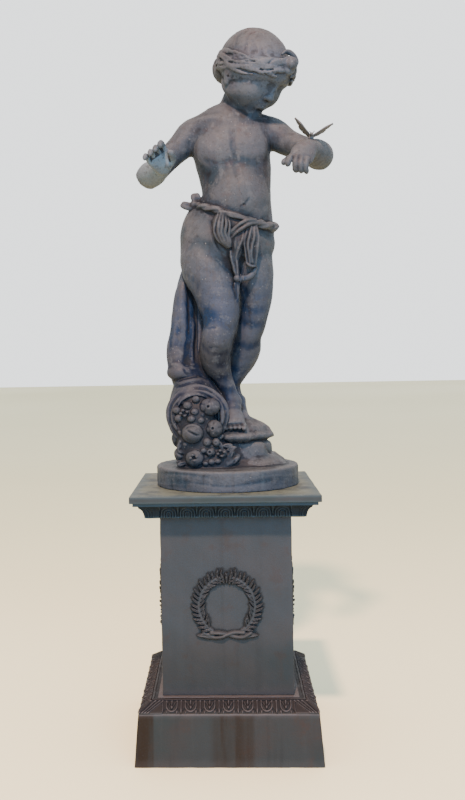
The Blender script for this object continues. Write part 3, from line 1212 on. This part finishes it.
def cap_relief(x, half, z):
    """Round-topped ribbed leaves with darts between them, and a long leaf over each corner."""
    tall = 36       # v runs from 0 at the foot of the cove to this at its top
    v = np.clip((z - COVE_FOOT_Z) / (FILLET_FOOT - COVE_FOOT_Z), 0, 1) * tall
    on = (z > COVE_FOOT_Z) & (z < FILLET_FOOT) & (half > DIE_HALF + 8)
    local = repeat(x)
    arch = np.hypot(local, np.maximum(v - 15, 0) * 0.95)
    height = ribs(arch, 2.0 * rib(arch, 19.5) * (arch < 19.5),
                  ((17.0, 2.4, 2.6), (10.5, 2.3, 2.8), (4.0, 2.0, 2.6)))
    between = LEAF_PITCH / 2 - np.abs(local)
    dart = rib(between, 5.0 * np.clip((v - 6) / 26, 0.15, 1)) * (v > 8) * (v < 35) * (np.abs(local) < 40)
    corner = (half - np.abs(x)) / (0.62 + 0.010 * v)
    leafy = ribs(corner, 2.4, ((0, 4.0, 2.6), (9, 2.6, 2.2), (17, 2.6, 2.0), (25, 2.4, 1.6)))
    height = np.maximum(np.maximum(height, 4.0 * dart), (np.abs(x) > LEAF_SPAN) * leafy)
    fade = np.clip(v / 2, 0, 1) * np.clip((tall - v) / 2, 0, 1)
    return np.where(on, height * fade, 0)


def base_relief(x, half, z):
    """Leaves that hang down the slope: a raised round rim, ribs that meet in a V, pointed tips."""
    tall = 37       # v runs from 0 at the top of the slope to this at its shoulder
    v = np.clip((half - SLOPE_TOP) / (BASE_SHOULDER - SLOPE_TOP), 0, 1) * tall
    on = (z > SHOULDER_Z) & (z < SLOPE_TOP_Z + 0.01) & (half > SLOPE_TOP - 0.01)
    local = repeat(x)
    bowl = np.hypot(local, np.maximum(v - 15, 0) * 0.82)
    height = 3.8 * rib(bowl - 13.0, 2.5) + 1.4 * rib(bowl, 12.0)
    height = height + 2.4 * rib(np.abs(local) * 0.9 - (24 - v) * 0.42, 1.9) * (v < 24) * (v > 3)
    height = height + 2.8 * rib(local, 2.0) * (v < 26)
    between = LEAF_PITCH / 2 - np.abs(local)
    tip = rib(between, np.clip((tall - 1 - v) * 0.62, 0.1, 9)) * (np.abs(local) < 40)
    height = np.maximum(height, 3.0 * tip + 1.6 * rib(between, 1.7) * (tip > 0))
    second = np.abs(np.abs(local) - 12.5)
    height = np.maximum(height, 2.6 * rib(second, np.clip((tall - 0.5 - v) * 0.7, 0.1, 5)) * (v > 27))
    corner = half - np.abs(x)
    leafy = (np.abs(x) > LEAF_SPAN) * (2.0 + 2.8 * rib(corner, 4.0) + 2.6 * rib(corner - 11 + v * 0.1, 2.8)
                                       + 2.4 * rib(corner - 21 + v * 0.2, 2.8)
                                       + 2.2 * rib(corner - 31 + v * 0.3, 2.8))
    fade = np.clip(v / 1.5, 0, 1) * np.clip((tall - v) / 1.5, 0, 1)
    return np.where(on, np.maximum(height, leafy) * fade, 0)


def make_base(step):
    profile = closed_outline(
        (BASE_FOOT - WALL, 0, 20), (BASE_FOOT - 1.2, 0, 2), (BASE_FOOT, 1.2, 12),
        (BASE_SHOULDER + 0.6, SHOULDER_Z - 1.5, 1), (BASE_SHOULDER, SHOULDER_Z, step),
        (SLOPE_TOP, SLOPE_TOP_Z, 1.5), (SLOPE_TOP, LEDGE_Z - 1, 1), (SLOPE_TOP - 1.2, LEDGE_Z, 2),
        (SLOPE_TOP - 4.5, LEDGE_Z, 1), (SLOPE_TOP - 5.2, LEDGE_Z - 1.6, 3),
        (DIE_HALF + 12, LEDGE_Z - 1.6, 1), (DIE_HALF + 11.2, LEDGE_Z, 12), (OPENING, LEDGE_Z, 20),
        (OPENING, LEDGE_Z - WALL - 4, 40), (BASE_SHOULDER - WALL - 2, SHOULDER_Z - WALL, 60))
    return square_casting("base_iron", profile, even_columns(BASE_SHOULDER, step), base_relief)


def make_cap(step):
    reach, rise = COVE_TOP - COVE_FOOT, FILLET_FOOT - COVE_FOOT_Z
    cove = [(COVE_FOOT + reach * (1 - math.cos(a)), COVE_FOOT_Z + rise * math.sin(a), reach)
            for a in np.radians(np.linspace(0, 90, int(42 / step)))]
    seat = DIE_HALF + 1
    profile = closed_outline(
        (seat, COVE_FOOT_Z, 10), *cove[:-1], (*cove[-1][:2], 3), (FILLET_HALF, FILLET_FOOT, 3),
        (FILLET_HALF, SLAB_FOOT - 1, 2), (FILLET_HALF - 3, SLAB_FOOT, 3),
        (CAP_HALF - 0.8, SLAB_FOOT + 0.2, 1), (CAP_HALF, SLAB_FOOT + 1.2, 3), (CAP_HALF, CAP_TOP - 1.6, 1.2),
        (CAP_HALF - 1.6, CAP_TOP, 26), (1, CAP_TOP, 30), (1, SLAB_FOOT, 60), (seat, SLAB_FOOT, 20))
    return square_casting("cap_iron", profile, even_columns(COVE_TOP, step), cap_relief)


def slender_leaf(x, z, foot, angle, length, width, height, bend=0.0):
    """Height of one leaf on a flat face: a pointed oval with a groove down its middle."""
    dx, dz = x - foot[0], z - foot[1]
    along = (dx * math.cos(angle) + dz * math.sin(angle)) / length
    across = -dx * math.sin(angle) + dz * math.cos(angle) - bend * along * along * length
    inside = (along > 0) & (along < 1)
    t = np.clip(along, 0, 1)
    half = width * np.sin(np.pi * t ** 0.8) ** 0.8 + 1e-3
    body = rib(across, half) * inside
    groove = 1 - 0.28 * np.exp(-(across / (0.22 * width)) ** 2)
    return body * groove * height * (0.65 + 0.35 * t)


def from_segment(x, z, a, b):
    """Distance on a plane from the straight line between two points, and the share along it."""
    d = b - a
    t = np.clip(((x - a[0]) * d[0] + (z - a[1]) * d[1]) / (d @ d), 0, 1)
    return np.hypot(x - a[0] - t * d[0], z - a[1] - t * d[1]), t


def line_distance(x, z, points):
    """Distance from a smooth line on a flat face, and the share along it."""
    path = spline([(*p, 0) for p in points], 5 * len(points))[:, :2]
    best, share = np.full(x.shape, 1e9), np.zeros(x.shape)
    for k, (a, b) in enumerate(zip(path, path[1:])):
        away, t = from_segment(x, z, a, b)
        closer = away < best
        best, share = np.where(closer, away, best), np.where(closer, (k + t) / (len(path) - 1), share)
    return best, share


def branch_leaves(side):
    """Foot, angle, length, width, height and bend of each leaf on one branch of the wreath."""
    for k in range(17):                                             # outside the stem
        t = (k + 0.5) / 17
        turn = 0.55 + (3.02 - 0.55) * t
        along = math.atan2(68 * math.sin(turn), side * 66 * math.cos(turn))
        opening = side * math.radians(48 + 30 * t + 4 * math.sin(2.4 * k))
        yield ((side * 68 * math.sin(turn), -70 * math.cos(turn)), along - opening,
               25 + 2 * math.sin(3 * k), 3.9, 12.6 + 1.5 * math.sin(1.7 * k), side * 0.10)
    for k in range(13):                                             # inside it
        t = (k + 0.5) / 13
        turn = 0.62 + (2.78 - 0.62) * t
        along = math.atan2(68 * math.sin(turn), side * 66 * math.cos(turn))
        opening = side * math.radians(53 - 8 * t + 4 * math.sin(2 * k))
        yield ((side * 70 * math.sin(turn), -72 * math.cos(turn)), along + opening,
               28 - 4 * t, 3.6, 11.6 + 1.3 * math.sin(1.3 * k + 1), -side * 0.12)
    for across, up, lean, length in ((6, 52, 10, 27), (14, 52, 20, 25), (1, 56, -6, 29)):   # at the tip
        yield (side * across, up), math.radians(90 - side * lean), length, 3.7, 13.0, 0.0
    yield (side * 26, -79), math.atan2(16, side * 40), 50, 9.5, 10.5, -side * 0.25      # at the foot
    yield (side * 30, -66), math.atan2(24, side * 32), 40, 6.5, 9.5, -side * 0.2


def wreath_height(x, z):
    """Two branches of slender leaves that rise from crossed stems and meet at the top."""
    height = np.zeros(np.broadcast(x, z).shape)
    x, z = np.broadcast_to(x, height.shape), np.broadcast_to(z, height.shape)
    for side in (-1, 1):
        stem, _ = line_distance(x, z, [(side * 69 * math.sin(a), -71 * math.cos(a))
                                       for a in np.linspace(0.55, 3.0, 9)])
        height = np.maximum(height, 6.5 * rib(stem, 5.0))
        for shape in branch_leaves(side):
            height = np.maximum(height, slender_leaf(x, z, *shape))
        rope, share = line_distance(x, z, [(-side * 40, -66), (-side * 18, -66), (0, -70), (side * 18, -76),
                                           (side * 38, -76), (side * 58, -66)])
        crossing = 10.0 + 2.4 * np.sin(share * 9 + (0 if side > 0 else 3.1))
        height = np.maximum(height, crossing * rib(rope, 5.6))
    return height


def die_relief(x, half, z):
    near = (np.abs(x) < 100) & (np.abs(z - WREATH_Z) < 100) & (half > DIE_HALF - 1)
    return np.where(near, wreath_height(x, z - WREATH_Z), 0)


def make_die(step):
    reach = 97                                                      # of the wreath, each way
    fine = np.arange(-reach, reach, step)
    outer = np.linspace(reach, DIE_HALF, max(int((DIE_HALF - reach) / 6), 2))
    edge = DIE_HALF - np.array((0.6, 1.4, 2.4))
    columns = np.unique(np.concatenate([-outer, fine, outer[:-1], -edge, edge]).round(4)) / DIE_HALF
    profile = closed_outline(
        (DIE_HALF - WALL, DIE_FOOT, 20), (DIE_HALF - 1, DIE_FOOT, 1), (DIE_HALF, DIE_FOOT + 1, 12),
        (DIE_HALF, WREATH_Z - reach, step), (DIE_HALF, WREATH_Z + reach, 14), (DIE_HALF, DIE_TOP, 20),
        (DIE_HALF - WALL, DIE_TOP, 80))
    return square_casting("die_iron", profile, columns, die_relief, 1.6)


# ------------------------------------------------------------------ butterfly
BUTTERFLY = np.array((227.0, -150.0, 1522.0))
WING_HALF = 1.6
WING_OUTLINE = ((0, -6), (12, -18), (24, -25), (38, -30), (50, -31), (59, -27), (60, -19), (54, -10),
                (48, -3), (41, 1), (43, 8), (43, 15), (34, 24), (24, 23), (14, 20), (6, 14), (0, 8))


class Wing:
    """A thin plate with a notched outline of [span, chord] pairs, raised about the body."""

    def __init__(self, side, rise):
        self.span = np.array((side * math.cos(rise), 0.0, math.sin(rise)))
        self.face = np.array((-side * math.sin(rise), 0.0, math.cos(rise)))
        self.low, self.high = BUTTERFLY - 66, BUTTERFLY + 66

    def distance(self, grid, margin):
        x, y, z = (g - c for g, c in zip(grid, BUTTERFLY))
        span = x * self.span[0] + z * self.span[2] + 0 * y
        off = x * self.face[0] + z * self.face[2] + 0 * y
        chord = y + 0 * span
        outline = np.array(WING_OUTLINE, dtype=float)
        away, inside = np.full(span.shape, 1e9), np.zeros(span.shape, bool)
        for a, b in zip(outline, np.roll(outline, -1, axis=0)):
            away = np.minimum(away, from_segment(span, chord, a, b)[0])
            d = b - a
            crosses = (a[1] > chord) != (b[1] > chord)
            inside ^= crosses & (span < d[0] * (chord - a[1]) / (d[1] if d[1] else 1e-9) + a[0])
        edge = np.where(inside, -away, away)
        vein = 0.45 * np.cos(np.arctan2(chord + 4, np.maximum(span, 1)) * 22) * np.clip(span / 20, 0, 1)
        return np.maximum(edge + 0.5, np.abs(off) - WING_HALF - vein)


def make_butterfly(step):
    """Two wings, a segmented body, and two short feelers."""
    figure = Carving(BUTTERFLY - (78, 36, 22), BUTTERFLY + (78, 36, 52), step)
    figure.add(Wing(1, math.radians(27)))
    figure.add(Wing(-1, math.radians(47)), 1)
    figure.limb([[*(BUTTERFLY + (0, y, z)), r] for y, z, r in (
        (-27, 2, 2.5), (-20, 3, 4.5), (-14, 3, 3.6), (-6, 3, 5.4), (4, 3, 5.0), (14, 2, 4.6), (28, 0, 2.4))],
        26, 1.5)
    figure.ball(BUTTERFLY + (0, -4, -4), (7, 10, 6), 3)
    for side in (-1, 1):
        figure.limb([[*(BUTTERFLY + (side * 1.5, -26, 3)), 1.1], [*(BUTTERFLY + (side * 6, -31, 8)), 1.0]],
                    4, 0.5)
    return carved_piece("butterfly_iron", *largest_part(*surface(figure)))


# ------------------------------------------------------------------ materials
class Finish:
    """A weathered iron finish built up as layers of colour over the object's own coordinates."""

    def __init__(self, name, colour):
        self.made, self.nodes, self.links, self.shader = new_material(name)
        self.shader.inputs["Specular IOR Level"].default_value = 0.12
        self.place = self.node("TexCoord").outputs["Object"]
        self.normal = self.node("NewGeometry").outputs["Normal"]
        self.colour = self.node("RGB").outputs[0]
        self.colour.default_value = (*colour, 1)

    def node(self, kind, inputs=None, **settings):
        """A shader node with its settings, each input fed by a socket or a plain value."""
        made = self.nodes.new("ShaderNode" + kind)
        for key, value in settings.items():
            setattr(made, key, value)
        for key, value in (inputs or {}).items():
            if isinstance(value, bpy.types.NodeSocket):
                self.links.new(value, made.inputs[key])
            else:
                made.inputs[key].default_value = value
        return made

    def math(self, kind, a, b=0.0):
        return self.node("Math", {0: a, 1: b}, operation=kind).outputs[0]

    def times(self, *values):
        """The product of several shares."""
        total = values[0]
        for value in values[1:]:
            total = self.math("MULTIPLY", total, value)
        return total

    def span(self, value, low, high):
        """0 at the first value, 1 at the second, smooth between; either may be the larger."""
        inputs = {"Value": value, "From Min": min(low, high), "From Max": max(low, high),
                  "To Min": float(low > high), "To Max": float(low <= high)}
        return self.node("MapRange", inputs, interpolation_type="SMOOTHSTEP").outputs[0]

    def noise(self, scale, detail, roughness=0.55, stretch=(1, 1, 1), shift=0.0):
        """Noise in the object's own space, shifted so that no two are alike."""
        moved = self.node("Mapping", {"Vector": self.place, "Scale": stretch,
                                      "Location": (shift, shift * 0.7, shift * 1.3)})
        return self.node("TexNoise", {"Vector": moved.outputs["Vector"], "Scale": scale,
                                      "Detail": detail, "Roughness": roughness}).outputs["Fac"]

    def part(self, vector, axis):
        return self.node("SeparateXYZ", {0: vector}).outputs[axis]

    def relief(self):
        return self.node("Attribute", attribute_name="relief").outputs["Fac"]

    def near(self, point, inner, outer):
        """1 near a point in millimetres, up to the inner distance in metres, 0 beyond the outer."""
        point = [c * MM + a for c, a in zip(point, AXIS)]
        away = self.node("VectorMath", {0: self.place, 1: point}, operation="DISTANCE")
        return self.span(away.outputs["Value"], outer, inner)

    def layer(self, colour, *shares, blend="MIX"):
        """Lays a colour over what is there, by the product of shares from 0 to 1."""
        inputs = {"Factor": self.times(*shares), 6: self.colour, 7: (*colour, 1)}
        self.colour = self.node("Mix", inputs, data_type="RGBA", blend_type=blend).outputs[2]

    def tint(self, colour, *shares):
        """Darkens what is there by a colour."""
        self.layer(colour, *shares, blend="MULTIPLY")

    def finish(self, roughness, bumps):
        """Connects the colour, a roughness and [height, strength, distance] bumps."""
        normal = None
        for height, strength, distance in bumps:
            inputs = {"Strength": strength, "Distance": distance, "Height": height}
            if normal:
                inputs["Normal"] = normal
            normal = self.node("Bump", inputs).outputs["Normal"]
        for name, socket in (("Base Color", self.colour), ("Roughness", roughness), ("Normal", normal)):
            self.links.new(socket, self.shader.inputs[name])
        return self.made


def figure_finish(name, pale=0.0):
    """Slate iron, browner where rain reaches it, rust in patches, dark hollows, worn light edges."""
    f = Finish(name, (0.020, 0.026, 0.034))
    height, across = f.part(f.place, 2), f.part(f.place, 0)
    f.layer((0.033, 0.035, 0.041), f.span(f.noise(9, 6, 0.65), 0.42, 0.60))
    f.layer((0.013, 0.021, 0.028), f.span(f.noise(7, 5, 0.65, shift=3.1), 0.5, 0.64))
    upward = f.span(f.part(f.normal, 2), 0.05, 0.85)
    f.layer((0.034, 0.034, 0.035), upward, f.span(f.noise(14, 5, shift=1.7), 0.3, 0.6))
    streak = f.noise(16, 5, stretch=(2.2, 2.2, 0.22), shift=5.0)
    f.layer((0.013, 0.013, 0.016), f.span(streak, 0.52, 0.64), 0.7)
    f.layer((0.040, 0.048, 0.054), f.span(streak, 0.42, 0.30), 0.6)
    patch = f.span(f.noise(26, 6, 0.62, shift=9.0), 0.50, 0.64)
    for point, reach in (((40, -60, 1500), 0.11), ((100, -60, 1590), 0.10), ((20, -95, 1335), 0.09),
                         ((-66, -60, 900), 0.10), ((20, -90, 790), 0.11), ((100, -70, 1800), 0.14),
                         ((60, -120, 1700), 0.12), ((210, -190, 1480), 0.07), ((0, -80, 1000), 0.16)):
        f.layer((0.034, 0.020, 0.021), f.near(point, 0.02, reach), patch, 0.5)
    f.layer((0.024, 0.016, 0.017), f.span(f.noise(34, 6, 0.6, shift=2.2), 0.58, 0.70), 0.6)
    cheek = (105, -110, 1690)
    f.layer((0.078, 0.104, 0.128), f.near((-165, -130, 1455), 0.05, 0.12), 0.9)     # raised forearm
    f.layer((0.046, 0.056, 0.074), f.near(cheek, 0.05, 0.12), 0.65)
    f.tint((0.22, 0.49, 0.95), f.span(height, 1.30, 1.10), f.span(height, 0.80, 0.88))     # legs
    f.tint((0.26, 0.48, 0.58), f.near((60, 0, 1010), 0.05, 0.15), 0.9)              # left calf
    horn = f.times(f.span(height, 1.27, 1.10), f.span(height, 0.700, 0.712), f.span(across, 0.03, -0.04))
    f.tint((0.60, 0.82, 0.94), horn)
    f.tint((0.25, 0.30, 0.38), horn, f.span(height, 1.08, 0.98))
    f.tint((0.66, 0.68, 0.72), f.near((40, -95, 1290), 0.05, 0.11))                 # loincloth
    f.tint((0.58, 0.72, 0.84), f.span(height, 0.706, 0.698))                        # round base
    f.tint((0.70, 0.74, 0.82), f.near((20, -40, 1500), 0.13, 0.19))                 # chest
    f.tint((0.78, 0.78, 0.80), f.near((75, -60, 1790), 0.08, 0.12))                 # crown
    if pale:
        f.layer((0.092, 0.088, 0.088), pale)
    f.layer((0.009, 0.010, 0.012), f.span(f.noise(60, 6, 0.65, shift=12.0), 0.54, 0.62), 0.5)
    f.layer((0.046, 0.050, 0.056), f.span(f.noise(48, 6, 0.65, shift=15.0), 0.56, 0.64), 0.4)
    relief = f.relief()
    f.layer((0.058, 0.059, 0.063), f.span(relief, 0.58, 0.85), 0.35)
    soil = f.math("SUBTRACT", 0.92, f.times(f.near(cheek, 0.06, 0.11), 0.4))
    f.layer((0.005, 0.006, 0.009), f.span(relief, 0.475, 0.24), soil)
    f.layer((0.130, 0.130, 0.127), f.span(f.noise(210, 2, 0.4, shift=4.4), 0.72, 0.77), 0.55)
    pits = f.noise(230, 5, 0.65)
    f.layer((0.010, 0.009, 0.010), f.span(pits, 0.44, 0.30), 0.6)
    rough = f.math("ADD", f.times(f.noise(40, 4, shift=6.0), 0.35), 0.42)
    return f.finish(rough, [(f.noise(30, 5), 0.4, 0.004), (f.noise(90, 5, shift=1.0), 0.4, 0.003),
                            (pits, 0.4, 0.0015)])


def butterfly_finish(name):
    """The same iron, rubbed to a paler brown grey."""
    return figure_finish(name, 0.55)


def flat_finish(name, base, warm, cool, streaks, rust):
    """Slate iron on the flat castings, with runs of water down the faces and rust in patches."""
    f = Finish(name, base)
    f.layer(warm, f.span(f.noise(7, 5), 0.42, 0.64))
    f.layer(cool, f.span(f.noise(5, 4, shift=3.1), 0.5, 0.7))
    run = f.noise(9, 5, stretch=(3.0, 3.0, 0.10), shift=5.0)
    f.layer([c * 0.62 for c in base], f.span(run, 0.54, 0.68), streaks)
    f.layer([c * 1.28 for c in base], f.span(run, 0.44, 0.34), streaks * 0.7)
    f.layer((0.022, 0.0135, 0.0105), f.span(f.noise(22, 6, 0.62, shift=8.0), 0.56, 0.70), rust)
    return f


def hollows_and_edges(f, light=(0.022, 0.021, 0.022), worn_share=0.55):
    """Light worn edges and dark soil in the hollows."""
    relief = f.relief()
    f.layer(light, f.span(relief, 0.57, 0.85), worn_share)
    f.layer((0.008, 0.009, 0.010), f.span(relief, 0.46, 0.18), 0.85)


def iron_surface(f, smoothest=0.45, bump=0.25):
    """Dark pits and the casting's grain, for a finished material."""
    pits = f.noise(260, 4, 0.6)
    f.layer((0.017, 0.016, 0.017), f.span(pits, 0.42, 0.3), 0.4)
    rough = f.math("ADD", f.times(f.noise(34, 4, shift=6.0), 0.35), smoothest)
    return f.finish(rough, [(f.noise(16, 4), bump, 0.004), (pits, 0.3, 0.0012)])


def die_finish(name):
    """Slate iron, a little darker and browner towards its foot."""
    f = flat_finish(name, (0.0175, 0.0212, 0.0250), (0.0205, 0.0222, 0.0250), (0.0135, 0.0194, 0.0238),
                    0.25, 0.3)
    f.tint((0.78, 0.75, 0.70), f.span(f.part(f.place, 2), 0.34, 0.22))
    hollows_and_edges(f)
    return iron_surface(f, 0.36, 0.2)


def cap_finish(name):
    """Pale greenish dust on top, dark iron in the leafy cove."""
    f = flat_finish(name, (0.017, 0.021, 0.023), (0.020, 0.021, 0.022), (0.013, 0.019, 0.019), 0.15, 0.3)
    upward = f.span(f.part(f.normal, 2), 0.5, 0.95)
    f.layer((0.054, 0.060, 0.047), upward, f.span(f.noise(16, 7, 0.7, shift=2.0), 0.34, 0.54))
    f.layer((0.002, 0.006, 0.010), f.span(f.part(f.place, 2), 0.633, 0.629), 0.95)
    hollows_and_edges(f, (0.026, 0.040, 0.048))
    return iron_surface(f)


def base_finish(name):
    """Rust in three upright bands, one of them all over the left side, below a dark leafy slope."""
    f = flat_finish(name, (0.0140, 0.0160, 0.0165), (0.0165, 0.0150, 0.0145), (0.0115, 0.0150, 0.0155),
                    0.5, 0.5)
    height, across = f.part(f.place, 2), f.part(f.place, 0)
    below = f.span(height, 0.128, 0.118)
    run = f.span(f.noise(13, 5, stretch=(3.0, 3.0, 0.08), shift=1.0), 0.38, 0.62)
    uneven = f.math("ADD", f.times(run, 0.5), 0.5)
    for middle, inner, outer, strength in ((-0.240, 0.024, 0.030, 0.9), (-0.028, 0.020, 0.056, 0.75),
                                           (0.020, 0.004, 0.014, 0.55)):
        away = f.math("ABSOLUTE", f.math("SUBTRACT", across, middle))
        f.layer((0.0090, 0.0045, 0.0015), f.span(away, outer, inner), below, strength, uneven)
    f.layer((0.0055, 0.0040, 0.0045), f.span(height, 0.122, 0.132), 0.9)
    carved = f.math("ADD", f.times(f.span(height, 0.119, 0.124), 0.46), 0.09)
    hollows_and_edges(f, (0.066, 0.058, 0.059), carved)
    return iron_surface(f, 0.42)


# ------------------------------------------------------------------ assembly
MOST_TRIANGLES = 190000             # of one piece


def installed(piece, node, slot, finish, angle=None, depth=0.0016, rounds=10, wide=0):
    """Dresses one piece, puts it on the object's only body and lets it stand for its CAD node."""
    triangles = 2 * len(piece.data.polygons)
    if triangles > MOST_TRIANGLES:
        modified(piece, "DECIMATE", ratio=MOST_TRIANGLES / triangles)
    mark_hollows(piece, rounds, depth, wide)
    for face in piece.data.polygons:
        face.use_smooth = True
    if angle:
        piece.data.set_sharp_from_angle(angle=math.radians(angle))
    piece.data.materials.append(finish(slot))
    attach(piece, "root")
    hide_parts(node)


make_camera()
make_studio()
installed(make_statue(1.8), "statue", "figure_iron", figure_finish,
          depth=0.0020, rounds=14, wide=70)
installed(make_butterfly(0.7), "butterfly", "butterfly_iron", butterfly_finish)
installed(make_cap(1.5), "pedestal_cap", "cap_iron", cap_finish, 42)
installed(make_die(1.1), "pedestal_die", "die_iron", die_finish, 42)
installed(make_base(1.5), "pedestal_base", "base_iron", base_finish, 42)
